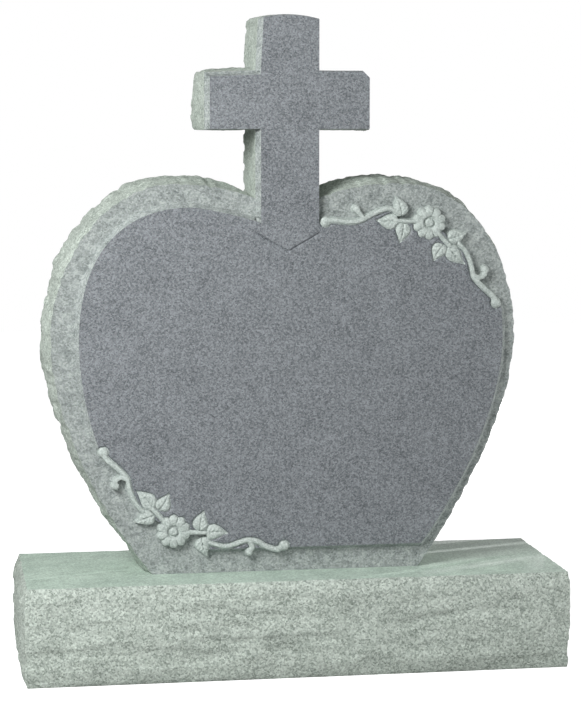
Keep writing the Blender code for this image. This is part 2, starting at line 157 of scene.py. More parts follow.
def corner_share(distance):
    """Share of the full swell at this distance from a corner."""
    t = min(1.0, distance / CORNER_REACH)
    return CORNER_SWELL + (1 - CORNER_SWELL) * t * (2 - t)


def pitching(place, swell):
    """How far a pitched side stands out at a place: its swell less what the chisel took away."""
    near = noise.voronoi(place / HOLLOW_CELL)[0][0]
    chip = noise.voronoi(place / CHIP_CELL)[0]
    taken = HOLLOW_SHARE * max(0.0, 1 - 2 * near * near)
    taken += CHIP_SHARE * (1 - min(1.0, chip[1] - chip[0]))
    shelf = noise.noise(Vector((place.x / LEDGE_LENGTH, place.y / LEDGE_LENGTH,
                                place.z / LEDGE_HEIGHT + 3.0)))
    ledge = LEDGE_DEPTH * min(max((shelf - LEDGE_FROM) / LEDGE_SLOPE, 0.0), 1.0)
    scar = noise.voronoi(place / FACET_CELL + Vector((7.0, 3.0, 1.0)))[0]
    facets = FACET_DEPTH * (scar[1] - scar[0] - FACET_MEAN)
    crumb = CRUMB_DEPTH * noise.fractal(place / CRUMB_CELL, 0.8, 2.0, 3)
    return swell * (1 - taken) - ledge - facets - crumb


def arris_chip(place):
    """How far the straight arris is broken back at a place, in metres."""
    rough = noise.fractal(place / ARRIS_CHIP_CELL, 0.9, 2.0, 2)
    return ARRIS_CHIP_DEPTH * max(0.0, ARRIS_CHIP_SHARE + rough)


def profile(height, knots):
    """Share of the swell at a height from 0 to 1, on a soft line through the knots."""
    for (low, a), (high, b) in zip(knots, knots[1:]):
        if height <= high:
            t = (height - low) / (high - low)
            return a + (b - a) * t
    return knots[-1][1]


bpy.ops.mesh.primitive_cube_add(size=1, location=(0, 0, PLINTH_SIZE[2] / 2))
plinth = bpy.context.object
plinth.name = "plinth_block"
plinth.scale = PLINTH_SIZE
bpy.ops.object.transform_apply(location=True, rotation=True, scale=True)


def select_edges(along):
    """Selects the edges that run along one axis, in edit mode."""
    bm = bmesh.from_edit_mesh(bpy.context.object.data)
    for edge in bm.edges:
        way = (edge.verts[1].co - edge.verts[0].co).normalized()
        edge.select = abs(way[along]) > 0.99
    bmesh.update_edit_mesh(bpy.context.object.data)


bpy.ops.object.mode_set(mode="EDIT")
bpy.ops.mesh.select_mode(type="FACE")
bm = bmesh.from_edit_mesh(plinth.data)
for face in bm.faces:
    face.select = abs(face.normal.z) > 0.9
bmesh.update_edit_mesh(plinth.data)
bpy.ops.mesh.delete(type="ONLY_FACE")
bpy.ops.mesh.select_mode(type="EDGE")
for axis in range(3):
    select_edges(axis)
    bpy.ops.mesh.subdivide(number_cuts=round(PLINTH_SIZE[axis] / PITCH_CELL) - 1)
for height in (0.0, PLINTH_SIZE[2]):
    bm = bmesh.from_edit_mesh(plinth.data)
    for edge in bm.edges:
        edge.select = all(abs(v.co.z - height) < SAME_PLACE for v in edge.verts)
    bmesh.update_edit_mesh(plinth.data)
    bpy.ops.mesh.edge_face_add()
bpy.ops.object.mode_set(mode="OBJECT")

half = [s / 2 for s in PLINTH_SIZE]
for vertex in plinth.data.vertices:
    place = vertex.co.copy()
    gaps = [half[0] - abs(place.x), half[1] - abs(place.y)]
    step = Vector((0, 0, 0))
    for axis in (0, 1):
        if gaps[axis] < SAME_PLACE:
            step[axis] = math.copysign(1, place[axis])
    push = profile(place.z / PLINTH_SIZE[2], PLINTH_KNOTS)
    push *= pitching(place, PLINTH_SWELL * corner_share(max(gaps)))
    if max(gaps) > CORNER_KEPT:
        below_top = PLINTH_SIZE[2] - place.z
        push -= arris_chip(place) * (1 - min(1.0, below_top / ARRIS_CHIP_REACH))
    vertex.co = place + step * push
    for axis in (0, 1):
        vertex.co[axis] = min(max(vertex.co[axis], cad_low[axis] + BOX_CLEARANCE),
                              cad_high[axis] - BOX_CLEARANCE)

bpy.ops.object.mode_set(mode="EDIT")
bpy.ops.mesh.select_all(action="SELECT")
bpy.ops.mesh.normals_make_consistent(inside=False)
bpy.ops.object.mode_set(mode="OBJECT")
bpy.ops.object.shade_smooth_by_angle(angle=SHARP_ANGLE)

# Rock-pitched granite: broken crystals scatter light, so it is pale, matt and coarse to the eye
pitched = granite("rock_pitched_granite", "#68736a", "#d2dcd3", grain=0.0028, cloud_size=0.030,
                  strengths=(0.60, 1.0, 0.45), roughness=0.85, relief=0.0009)
# Steeled granite: ground flat with steel shot, even and pale, with hardly any gloss
steeled = granite("steeled_granite", "#8a9c91", "#cddfd1", grain=0.0024, cloud_size=0.050,
                  strengths=(0.60, 1.0, 0.8), roughness=0.70, relief=0.0001)
plinth.data.materials.append(pitched)
plinth.data.materials.append(steeled)
for face in plinth.data.polygons:
    face.material_index = 1 if face.normal.z > 0.9 else 0

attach(plinth, "root")
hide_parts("plinth")


# Tablet, its pitched sides and back
# One granite slab sawn to the outline of a heart with a cross standing out of its cleft.
# The sides are rock pitched all round from a straight front arris, the foot is sawn flat, and the
# back is sawn and frosted.

TABLET_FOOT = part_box("heart_tablet")[0].z
TABLET_THICKNESS = 0.152
SIDE_STEP = 0.003
HEART_X = -0.0135
HEART_FOOT_HALF = 0.228
HEART_HALF_WIDTH = 0.396
HEART_WIDEST = 0.394
HEART_LOBE = (0.190, 0.657)
HEART_CLEFT = 0.632
HEART_SWELL = 0.016
HEART_PULLS = ((0.05, 0.40, 0.48, 0.68, 0.12, 0.45), (0.12, 0.41, 0.50, 0.56, 0.12, 0.45))
FOOT_LEAN = 0.40
FOOT_CLIMB = 0.85
CLEFT_SLOPE = 0.42
CROSS_X = -0.0115
CROSS_HALF = 0.0538
CROSS_HALF_SPAN = 0.1393
CROSS_ARM_BOTTOM = 0.7462
CROSS_ARM_TOP = 0.8445
CROSS_ARM_DROP = 0.0035
CROSS_CHIP = 0.0115
CROSS_TOP = 0.9300
CROSS_ARCH = 0.0072
HEAD_STEPS = 5
HEAD_LEAN = 0.0045
HEAD_DROP = 0.0025
SHAFT_SWELL = 0.001
ARM_UNDER_SWELL = 0.0012
ARM_END_SWELL = 0.0095
ARM_TOP_SWELL = 0.0085
HEAD_SWELL = 0.003
CROWNED = (HEAD_SWELL, ARM_TOP_SWELL)
CHIPPED_SWELL = 0.011
FOOT_KEPT = 0.010
MARGIN_DEPTH = 0.012
STEP_RUN = 0.0070
STEP_LEDGE = 0.0008
FACE_INSET_LEFT = STEP_RUN + STEP_LEDGE
FACE_INSET_TOP_LEFT = 0.0075
FACE_INSET = 0.0016
ARRIS_RUN = 0.0010
FRONT_Y = -TABLET_THICKNESS / 2
MARGIN_Y = FRONT_Y + MARGIN_DEPTH
BACK_Y = TABLET_THICKNESS / 2
TABLET_KNOTS = ((0, 0), (0.27, 0.75), (0.5, 0.95), (0.75, 1), (1, 1))
SAME_WAY = 0.2
MITRE_LIMIT = 0.6


def bezier(start, pull_out, pull_in, end, count=40):
    """Points of one cubic stretch, both ends included."""
    points = []
    for i in range(count + 1):
        t = i / count
        s = 1 - t
        a, b, c, d = s ** 3, 3 * s * s * t, 3 * s * t * t, t ** 3
        points.append(tuple(a * p + b * q + c * r + d * e
                            for p, q, r, e in zip(start, pull_out, pull_in, end)))
    return points


def heart_side(foot, widest, lobe, cleft, pulls):
    """Right-hand side of a heart from its foot to its cleft, x from the heart's middle."""
    low, below, above, outside, inside, arrive = pulls
    rise = widest[1] - foot[1]
    lean = (widest[0] - foot[0]) / rise
    crown = lobe[1] - widest[1]
    inner = lobe[0] - cleft[0]
    flank = bezier(foot,
                   (foot[0] + low * rise * (FOOT_LEAN + lean), foot[1] + low * rise * FOOT_CLIMB),
                   (widest[0], widest[1] - below * rise), widest)
    shoulder = bezier(widest, (widest[0], widest[1] + above * crown),
                      (lobe[0] + outside * (widest[0] - lobe[0]), lobe[1]), lobe)
    valley = bezier(lobe, (lobe[0] - inside * inner, lobe[1]),
                    (cleft[0] + arrive * inner, cleft[1] + arrive * inner * CLEFT_SLOPE), cleft)
    return flank + shoulder[1:] + valley[1:]


def cross_edges():
    """The cross's edges anticlockwise from its right cleft, cut off level with its shaft.

    Each is its starting corner, the swell of the pitched side behind it, how far the face
    stops short of it, and the run of the step or arris between the two.
    """
    half, span = CROSS_HALF, CROSS_HALF_SPAN
    low, high, top = CROSS_ARM_BOTTOM, CROSS_ARM_TOP, CROSS_TOP
    right = [((half, None), SHAFT_SWELL), ((half, low), ARM_UNDER_SWELL),
             ((span, low), ARM_END_SWELL), ((span, high - CROSS_CHIP), SHAFT_SWELL),
             ((span - CROSS_CHIP, high), SHAFT_SWELL), ((half, high), SHAFT_SWELL)]
    for i in range(2 * HEAD_STEPS):
        share = 1 - i / HEAD_STEPS
        right.append(((half * share, top + CROSS_ARCH * (1 - share * share)), HEAD_SWELL))
    edges = [(corner, swell, FACE_INSET, ARRIS_RUN) for corner, swell in right]
    edges.append(((HEAD_LEAN - half, top - HEAD_DROP), SHAFT_SWELL, FACE_INSET_LEFT, STEP_RUN))
    edges.append(((-half, high), ARM_TOP_SWELL, FACE_INSET_TOP_LEFT, FACE_INSET_TOP_LEFT / 2))
    edges.append(((-span, high - CROSS_ARM_DROP), ARM_END_SWELL, FACE_INSET_LEFT, STEP_RUN))
    edges.append(((-span, low), ARM_UNDER_SWELL, FACE_INSET, ARRIS_RUN))
    edges.append(((-half, low), SHAFT_SWELL, FACE_INSET_LEFT, STEP_RUN))
    edges.append(((-half, None), 0.0, 0.0, 0.0))
    return edges


def offset(points, reaches):
    """The outline with each edge moved out by its own reach, listed by the edge's first point."""
    points = np.array(points, dtype=float)
    ways = np.roll(points, -1, axis=0) - points
    ways /= np.hypot(*ways.T)[:, None]
    ahead = np.column_stack([ways[:, 1], -ways[:, 0]])
    back = np.roll(ahead, 1, axis=0)
    b = np.array(reaches, dtype=float)
    a = np.roll(b, 1)
    turn = back[:, 0] * ahead[:, 1] - back[:, 1] * ahead[:, 0]
    soft = np.abs(turn) < SAME_WAY
    middle = (back + ahead) / np.hypot(*(back + ahead).T)[:, None]
    safe = np.where(soft, 1.0, turn)
    mitre = np.column_stack([a * ahead[:, 1] - b * back[:, 1], b * back[:, 0] - a * ahead[:, 0]])
    return points + np.where(soft[:, None], middle * ((a + b) / 2)[:, None], mitre / safe[:, None])


def stretches(centre, foot, half_width, lobe, cleft_z, pulls, inset_share):
    """Closed outline of heart and cross as paths that meet in corners.

    Each path comes with the swell of the pitched side behind it, whether that dies down at its
    start and end, and the run of the step outside it. The cross is drawn at its pitched
    outline with an inset_share of 0, and at its face with 1.
    """
    edges = cross_edges()
    outline = [(CROSS_X + x, cleft_z if z is None else z) for (x, z), _, _, _ in edges]
    corners = offset(outline, [-inset * inset_share for _, _, inset, _ in edges])
    sides = []
    for inner, pull in zip((corners[0][0] - centre, centre - corners[-1][0]), pulls):
        sides.append(heart_side(foot, (half_width, HEART_WIDEST), lobe, (inner, cleft_z), pull))
    right = [(centre + x, z) for x, z in sides[0]]
    left = [(centre - x, z) for x, z in reversed(sides[1])]
    runs = [([left[-1], right[0]], HEART_SWELL, False, False, STEP_RUN),
            (right, HEART_SWELL, False, True, STEP_RUN)]
    for a, b, (_, swell, _, run) in zip(corners, corners[1:], edges):
        runs.append(([a, b], swell, swell not in CROWNED, swell not in CROWNED, run))
    runs.append((left, HEART_SWELL, True, False, STEP_RUN))
    return runs


def resample(path, step):
    """Even points along a path, without its last point."""
    path = np.array(path)
    lengths = np.concatenate([[0], np.cumsum(np.hypot(*np.diff(path, axis=0).T))])
    count = max(1, round(lengths[-1] / step))
    wants = lengths[-1] * np.arange(count) / count
    return np.column_stack([np.interp(wants, lengths, path[:, k]) for k in (0, 1)]), lengths[-1]


def closed_points(runs, step):
    """Points of a closed outline, with the pitched side's swell and the step's run at each."""
    points = []
    swells = []
    steps = []
    for path, swell, soft_start, soft_end, step_run in runs:
        part, length = resample(path, step)
        for i, point in enumerate(part):
            along = length * i / len(part)
            before = along if soft_start else CORNER_REACH
            after = length - along if soft_end else CORNER_REACH
            points.append(point)
            swells.append(swell * corner_share(min(before, after)))
            steps.append(step_run)
    return np.array(points), np.array(swells), np.array(steps)


def outward(points):
    """For each point of an anticlockwise outline, the step that offsets it by one unit."""
    back = points - np.roll(points, 1, axis=0)
    ahead = np.roll(points, -1, axis=0) - points
    back /= np.hypot(*back.T)[:, None]
    ahead /= np.hypot(*ahead.T)[:, None]
    normal = np.column_stack([(back + ahead)[:, 1], -(back + ahead)[:, 0]])
    normal /= np.hypot(*normal.T)[:, None]
    spread = np.maximum(MITRE_LIMIT, normal[:, 0] * back[:, 1] - normal[:, 1] * back[:, 0])
    return normal / spread[:, None]


body_runs = stretches(HEART_X, (HEART_FOOT_HALF, 0.0), HEART_HALF_WIDTH, HEART_LOBE, HEART_CLEFT,
                      HEART_PULLS, 0.0)
arris, arris_swells, _ = closed_points(body_runs, SIDE_STEP)
arris_steps = outward(arris)
chips = [arris_chip(Vector((x, 0, z))) if swell > CHIPPED_SWELL and z > FOOT_KEPT else 0.0
         for (x, z), swell in zip(arris, arris_swells)]
arris = arris - arris_steps * np.array(chips)[:, None]
around = len(arris)
rings = round((BACK_Y - MARGIN_Y) / SIDE_STEP)

bpy.ops.object.select_all(action="DESELECT")
bpy.ops.mesh.primitive_cylinder_add(vertices=around, radius=1, depth=1, end_fill_type="NOTHING")
tablet = bpy.context.object
tablet.name = "heart_and_cross"
bpy.ops.object.mode_set(mode="EDIT")
bpy.ops.mesh.select_mode(type="EDGE")
select_edges(2)
bpy.ops.mesh.subdivide(number_cuts=rings - 1)
bpy.ops.object.mode_set(mode="OBJECT")

for vertex in tablet.data.vertices:
    i = round(math.atan2(vertex.co.y, vertex.co.x) / (2 * math.pi) * around) % around
    depth = vertex.co.z + 0.5
    place = Vector((arris[i][0], MARGIN_Y + depth * (BACK_Y - MARGIN_Y),
                    TABLET_FOOT + arris[i][1]))
    push = profile(depth, TABLET_KNOTS) * pitching(place, arris_swells[i])
    place += Vector((arris_steps[i][0], 0, arris_steps[i][1])) * push
    place.z = min(max(place.z, TABLET_FOOT), cad_high.z)
    vertex.co = place

bpy.ops.object.mode_set(mode="EDIT")
bm = bmesh.from_edit_mesh(tablet.data)
for edge in bm.edges:
    edge.select = all(abs(v.co.y - BACK_Y) < SAME_PLACE for v in edge.verts)
bmesh.update_edit_mesh(tablet.data)
bpy.ops.mesh.edge_face_add()
bpy.ops.object.mode_set(mode="OBJECT")
# Frosted granite: blasted with grit, paler than the honed face, with a fine even tooth
frosted = granite("frosted_granite", "#86908c", "#c5cec9", grain=0.0024, cloud_size=0.030,
                  strengths=(0.55, 0.9, 0.4), roughness=0.80, relief=0.0003)
tablet.data.materials.append(pitched)
tablet.data.materials.append(frosted)
for face in tablet.data.polygons:
    face.material_index = 1 if len(face.vertices) > 4 else 0


# Tablet, its face
# The panel and the front of the cross are one flat face, honed to a soft sheen. A margin dressed
# with a point is sunk around the panel, and flowers, leaves and scrolls are carved where they meet.

PANEL_X = -0.0018
PANEL_FOOT = (HEART_FOOT_HALF - 0.0080, 0.0420)
PANEL_HALF_WIDTH = HEART_HALF_WIDTH - 0.0355
PANEL_LOBE = (HEART_LOBE[0] - 0.0150, HEART_LOBE[1] - 0.0390)
PANEL_CLEFT = HEART_CLEFT - 0.0405
PANEL_PULLS = ((0.05, 0.45, 0.72, 0.54, 0.22, 0.10), (0.40, 0.27, 0.72, 0.54, 0.22, 0.10))
GROOVE_HALF_WIDTH = 0.0024
GROOVE_SHOULDER = PANEL_CLEFT - 0.017
GROOVE_POINT = GROOVE_SHOULDER - 0.031
CARVING_RISE = 0.0012
TRENCH_DEPTH = 0.0030
TRENCH_WIDTH = 0.0032
SCROLL_HALF_WIDTH = 0.0042
SCROLL_ENDS = (0.8, 1.15)
STALK_ENDS = (0.7, 0.9)
STEM_RISE = 0.0006
STEM_ROUND = 0.85
SCROLL_BALL = 0.0086
CURL_BALL = 0.0066
BALL_RISE = 0.0012
BALL_ROUND = 0.60
LEAF_HALF_WIDTH = 0.0125
LEAF_SHARES = (0, 0.06, 0.16, 0.32, 0.5, 0.68, 0.82, 0.92, 1)
LEAF_WIDTHS = (0.2, 0.66, 0.93, 1.0, 0.86, 0.56, 0.27, 0.12, 0)
LEAF_SINK = 0.0020
LEAF_DOME = 0.0026
LEAF_DOME_REACH = 0.006
LEAF_TIP_DIP = 0.0014
RIB_DEPTH = 0.0020
RIB_WIDTH = 0.0014
VEIN_DEPTH = 0.0005
VEIN_GAP = 0.0075
VEIN_SLANT = 0.9
VEIN_FADE = 0.003
FLOWER_RADIUS = 0.0280
FLOWER_SCALLOP_DEPTH = 0.14
FLOWER_SINK = 0.0024
PETAL_CUP = 0.0034
PETAL_CREASE = (0.0026, 0.0022)
LOBE_CREASE = (0.0013, 0.0018)
FLOWER_BUTTON = 0.0065
BUTTON_RISE = 0.0026
RING_SHARE = 1.35
RING_CREASE = (0.0042, 0.0020)
WAVE_CELL = 0.013
WAVE_DEPTH = 0.0007
WAVE_MEAN = 0.6
POCKET_EDGE = 0.002
POCKET_REACH = 0.0284
FINE_STEP = 0.0012
FINE_REACH = 0.0045
SPRAY_REACH = (0.21, 0.16)
OUTLINE_STEP = 0.003
PANEL_STEP = 0.008
MARGIN_STEP = 0.0045
CARVING_CLEAR = 0.0060
MERGE_REACH = 0.00002

# One spray, measured from its flower's middle: leaves as (base, tip), stems as points
LEAVES = (((-0.048, 0.012), (-0.057, 0.044)), ((-0.055, 0.004), (-0.091, 0.005)),
          ((-0.045, -0.001), (-0.051, -0.033)), ((0.033, -0.028), (0.065, -0.017)),
          ((0.024, -0.038), (0.008, -0.064)), ((0.034, -0.041), (0.061, -0.070)))
LEAF_BOWS = (0.0022, -0.0022, -0.0018, 0.0008, 0.0018, 0.0026)
STALKS = (((-0.058, 0.004), (-0.020, 0.002)), ((0.014, -0.016), (0.036, -0.040)))
SHORT_SCROLL = ((0.052, -0.036), (0.064, -0.050), (0.073, -0.072), (0.078, -0.092),
                (0.092, -0.108), (0.111, -0.125), (0.117, -0.137))
SHORT_CURL = ((0.077, -0.089), (0.088, -0.094), (0.096, -0.089), (0.097, -0.080))
UPPER_SCROLL = ((-0.057, 0.017), (-0.071, 0.024), (-0.096, 0.016), (-0.121, 0.004),
                (-0.144, 0.003), (-0.165, 0.005), (-0.178, 0.003))
UPPER_CURL = ((-0.112, 0.008), (-0.120, 0.016), (-0.126, 0.024))
LOWER_SCROLL = ((0.060, -0.021), (0.085, -0.028), (0.103, -0.025), (0.122, -0.019),
                (0.140, -0.021), (0.158, -0.031), (0.176, -0.036), (0.188, -0.030))
LOWER_CURL = ((0.128, -0.020), (0.134, -0.030), (0.128, -0.039))
POCKET_RIM = ((0.105, -0.020), (0.075, 0.035), (0.000, 0.055), (-0.055, 0.050))
POCKET_END = (-0.058, 0.004)
UPPER_POCKET_RIM = ((-0.120, 0.045), (-0.1865, 0.030), (-0.1865, 0.003), *UPPER_SCROLL[::-1])
UPPER_FLOWER = (PANEL_X + PANEL_LOBE[0] + 0.057, PANEL_LOBE[1] - 0.028)
LOWER_FLOWER = (PANEL_X - PANEL_FOOT[0] + 0.015, PANEL_FOOT[1] + 0.032)


def smooth_line(points, count=8):
    """Points of a soft curve through the given ones."""
    line = []
    padded = [points[0]] + list(points) + [points[-1]]
    for p, q, r, s in zip(padded, padded[1:], padded[2:], padded[3:]):
        for i in range(count):
            t = i / count
            line.append(tuple(0.5 * (2 * b + (c - a) * t + (2 * a - 5 * b + 4 * c - d) * t * t
                                     + (3 * b - a - 3 * c + d) * t ** 3)
                              for a, b, c, d in zip(p, q, r, s)))
    return line + [tuple(points[-1])]


def path_distance(points, path):
    """Distance of each point from a path of straight pieces."""
    best = np.full(len(points), np.inf)
    for a, b in zip(path, path[1:]):
        way = np.subtract(b, a)
        t = np.clip((points - a) @ way / max(way @ way, 1e-12), 0, 1)
        best = np.minimum(best, np.hypot(*(points - a - t[:, None] * way).T))
    return best


def inside(points, loop):
    """Whether each point lies inside a closed loop."""
    odd = np.zeros(len(points), bool)
    for (ax, az), (bx, bz) in zip(loop, np.roll(loop, -1, axis=0)):
        if az == bz:
            continue
        cross = (az > points[:, 1]) != (bz > points[:, 1])
        odd ^= cross & (points[:, 0] < (bx - ax) * (points[:, 1] - az) / (bz - az) + ax)
    return odd


def signed_distance(points, loop):
    """Distance from a closed loop, negative inside it."""
    closed = list(loop) + [loop[0]]
    return np.where(inside(points, loop), -1, 1) * path_distance(points, closed)


# Carving: each maker returns a function that gives, for points on the face, the signed distance
# from the element's outline and the height of its top above the honed face

def stem(line, thin, thick):
    """Round stem along a soft curve, thin where it starts and thick where it ends."""
    line = smooth_line(line)
    start, end = np.array(line[0]), np.array(line[-1])

    def shape(points):
        away = path_distance(points, line)
        first = np.hypot(*(points - start).T)
        last = np.hypot(*(points - end).T)
        half = thin + (thick - thin) * first / (first + last)
        crown = np.sqrt(np.clip(1 - (away / half) ** 2, 0, 1))
        return away - half, CARVING_RISE + STEM_RISE - half * STEM_ROUND * (1 - crown)
    return shape


def ball(centre, radius):
    """Half-round knob that ends a stem."""
    def shape(points):
        away = np.hypot(*(points - centre).T)
        crown = np.sqrt(np.clip(1 - (away / radius) ** 2, 0, 1))
        return away - radius, CARVING_RISE + BALL_RISE - radius * BALL_ROUND * (1 - crown)
    return shape


def leaf_outline(base, tip, bow, count=18):
    """Broad leaf that draws out to a hooked point, as a closed outline."""
    along = np.subtract(tip, base)
    across = np.array((-along[1], along[0])) / np.hypot(*along)
    shares = np.arange(count + 1) / count
    widths = LEAF_HALF_WIDTH * np.interp(shares, LEAF_SHARES, LEAF_WIDTHS)
    middle = [np.array(base) + along * s - across * bow * 4 * s * (1 - s) for s in shares]
    right = [m - across * w for m, w in zip(middle, widths)]
    left = [m + across * w for m, w in zip(middle, widths)]
    return np.array(right + left[-2::-1])


def crease(away, depth, width):
    """Depth of a soft crease at a distance from its middle."""
    return depth * np.exp(-(away / width) ** 2)


def leaf(base, tip, bow):
    """Leaf domed on both sides of a sunk rib, with side veins, and dipping to its point."""
    outline = leaf_outline(base, tip, bow)
    along = np.subtract(tip, base)
    length = np.hypot(*along)
    along = along / length
    across = np.array((-along[1], along[0]))

    def shape(points):
        edge = signed_distance(points, outline)
        share = np.clip((points - base) @ along / length, 0, 1)
        side = (points - base) @ across + bow * 4 * share * (1 - share)
        dome = LEAF_DOME * (1 - np.clip(1 + edge / LEAF_DOME_REACH, 0, 1) ** 2)
        rib = crease(side, RIB_DEPTH, RIB_WIDTH)
        slant = share * length - np.abs(side) * VEIN_SLANT
        veins = VEIN_DEPTH * np.cos(2 * np.pi * slant / VEIN_GAP) * np.clip(-edge / VEIN_FADE, 0, 1)
        return edge, CARVING_RISE - LEAF_SINK + dome - rib + veins - LEAF_TIP_DIP * share
    return shape


def flower_radius(angle):
    """Radius of the flower's rim, with ten scallops: two to a petal."""
    return FLOWER_RADIUS * (1 - FLOWER_SCALLOP_DEPTH * (1 - np.abs(np.sin(5 * angle))))


def flower(centre):
    """Five petals, each of two lobes, cupped round a button in a sunk ring."""
    def shape(points):
        x, z = (points - centre).T
        away = np.hypot(x, z)
        angle = np.arctan2(z, x)
        rim = flower_radius(angle)
        share = np.clip(away / rim, 0, 1)
        petal = crease(np.abs(np.sin(2.5 * angle)) * away, *PETAL_CREASE)
        lobe = crease(np.abs(np.cos(2.5 * angle)) * away, *LOBE_CREASE)
        cup = PETAL_CUP * np.sin(np.pi * share ** 1.5) ** 0.7
        ring = crease(away - FLOWER_BUTTON * RING_SHARE, *RING_CREASE)
        button = BUTTON_RISE * np.sqrt(np.clip(1 - (away / FLOWER_BUTTON) ** 2, 0, 1))
        rise = CARVING_RISE - FLOWER_SINK + cup - (petal + lobe) * share - ring + button
        return away - rim, rise
    return shape


def spray(centre, turn, long_scroll, long_curl):
    """The shapes and outlines of one spray; turn is 1 as drawn or -1 for half a turn."""
    def place(point, way=turn):
        return (centre[0] + way * point[0], centre[1] + way * point[1])

    shapes = []
    outlines = []
    lines = [[place(p) for p in SHORT_SCROLL], [place(p) for p in SHORT_CURL],
             [place(p, 1) for p in long_scroll], [place(p, 1) for p in long_curl]]
    for i, line in enumerate(lines):
        shapes.append(stem(line, *(SCROLL_HALF_WIDTH * share for share in SCROLL_ENDS)))
        shapes.append(ball(line[-1], SCROLL_BALL if i % 2 == 0 else CURL_BALL))
    for ends in STALKS:
        shapes.append(stem([place(p) for p in ends],
                           *(SCROLL_HALF_WIDTH * share for share in STALK_ENDS)))
    for (base, tip), bow in zip(LEAVES, LEAF_BOWS):
        shapes.append(leaf(place(base), place(tip), bow))
        outlines.append(leaf_outline(place(base), place(tip), bow))
    shapes.append(flower(np.array(centre)))
    turns = np.arange(120) / 120 * 2 * np.pi
    rims = flower_radius(turns)
    outlines.append(np.column_stack([centre[0] + rims * np.cos(turns),
                                     centre[1] + rims * np.sin(turns)]))
    return shapes, outlines


def pocket(centre, turn, more_rim):
    """Where the margin takes the place of the panel, outside the short scroll and on."""
    out, low = SHORT_SCROLL[-1]
    rim = [(0.0, 0.0), *SHORT_SCROLL, (out + POCKET_REACH, low), *POCKET_RIM, *more_rim, POCKET_END]
    return np.array([(centre[0] + turn * x, centre[1] + turn * z) for x, z in rim])


panel_runs = stretches(PANEL_X, PANEL_FOOT, PANEL_HALF_WIDTH, PANEL_LOBE, PANEL_CLEFT,
                       PANEL_PULLS, 1.0)
panel, _, panel_steps = closed_points(panel_runs, OUTLINE_STEP)
step_foot = offset(panel, panel_steps)
pockets = [pocket(UPPER_FLOWER, 1, UPPER_POCKET_RIM), pocket(LOWER_FLOWER, -1, ())]
groove = [(CROSS_X - CROSS_HALF, GROOVE_SHOULDER), (CROSS_X, GROOVE_POINT),
          (CROSS_X + CROSS_HALF, GROOVE_SHOULDER)]
upper_shapes, upper_outlines = spray(UPPER_FLOWER, 1, UPPER_SCROLL, UPPER_CURL)
lower_shapes, lower_outlines = spray(LOWER_FLOWER, -1, LOWER_SCROLL, LOWER_CURL)
shapes = upper_shapes + lower_shapes
outlines = upper_outlines + lower_outlines


def face_height(points):
    """Height above the honed plane, finish (honed, frosted, pointed) and distance of the carving."""
    sunk = MARGIN_DEPTH * np.clip(signed_distance(points, panel) / STEP_RUN, 0, 1)
    for loop in pockets:
        depth_in = np.clip(-signed_distance(points, loop) / POCKET_EDGE, 0, 1)
        sunk = np.maximum(sunk, MARGIN_DEPTH * depth_in)
    honed = sunk < 1e-6
    groove_depth = np.clip(GROOVE_HALF_WIDTH - path_distance(points, groove), 0, None)
    height = np.where(honed, -groove_depth, -sunk)
    nearest = np.full(len(points), np.inf)
    top = np.full(len(points), -np.inf)
    for shape in shapes:
        edge, rise = shape(points)
        nearest = np.minimum(nearest, edge)
        top = np.where(edge <= 1e-6, np.maximum(top, rise), top)
    trench = TRENCH_DEPTH * np.clip(1 - (nearest / TRENCH_WIDTH) ** 2, 0, 1)
    height = np.where(nearest < TRENCH_WIDTH, np.maximum(height - trench, -MARGIN_DEPTH), height)
    height = np.where(nearest <= 1e-6, top, height)
    finish = np.where(nearest <= TRENCH_WIDTH * 0.4, 1, np.where(honed, 0, 2))
    return height, finish, nearest


low_x, low_z = arris.min(axis=0)
high_x, high_z = arris.max(axis=0)


def grid(step):
    """Points all over the face, each row shifted half a step."""
    xs, zs = np.meshgrid(np.arange(low_x, high_x, step), np.arange(low_z, high_z, step))
    xs[1::2] += step / 2
    return np.column_stack([xs.ravel(), zs.ravel()])


def carving_distance(points):
    """Signed distance of each point from the nearest carved shape."""
    near = np.full(len(points), np.inf)
    for shape in shapes:
        near = np.minimum(near, shape(points)[0])
    return near


# Fine points over the carving, wide ones over the flat of the panel, middling ones on the margin
fine = grid(FINE_STEP)
around_sprays = np.zeros(len(fine), bool)
for centre in (UPPER_FLOWER, LOWER_FLOWER):
    around_sprays |= np.all(np.abs(fine - centre) < SPRAY_REACH, axis=1)
fine = fine[around_sprays]
fine = fine[carving_distance(fine) < FINE_REACH]
fine = fine[signed_distance(fine, arris) < -0.001]
flat = grid(PANEL_STEP)
flat = flat[signed_distance(flat, panel) < -0.002]
rough = grid(MARGIN_STEP)
rough = rough[signed_distance(rough, arris) < -0.002]
rough = rough[signed_distance(rough, panel) > STEP_RUN + 0.0015]
open_places = np.concatenate([flat, rough])
open_places = open_places[carving_distance(open_places) > CARVING_CLEAR]
grooves = []
for side in (-1, 0, 1):
    grooves.append([(x, z + side * GROOVE_HALF_WIDTH * 1.25) for x, z in groove])

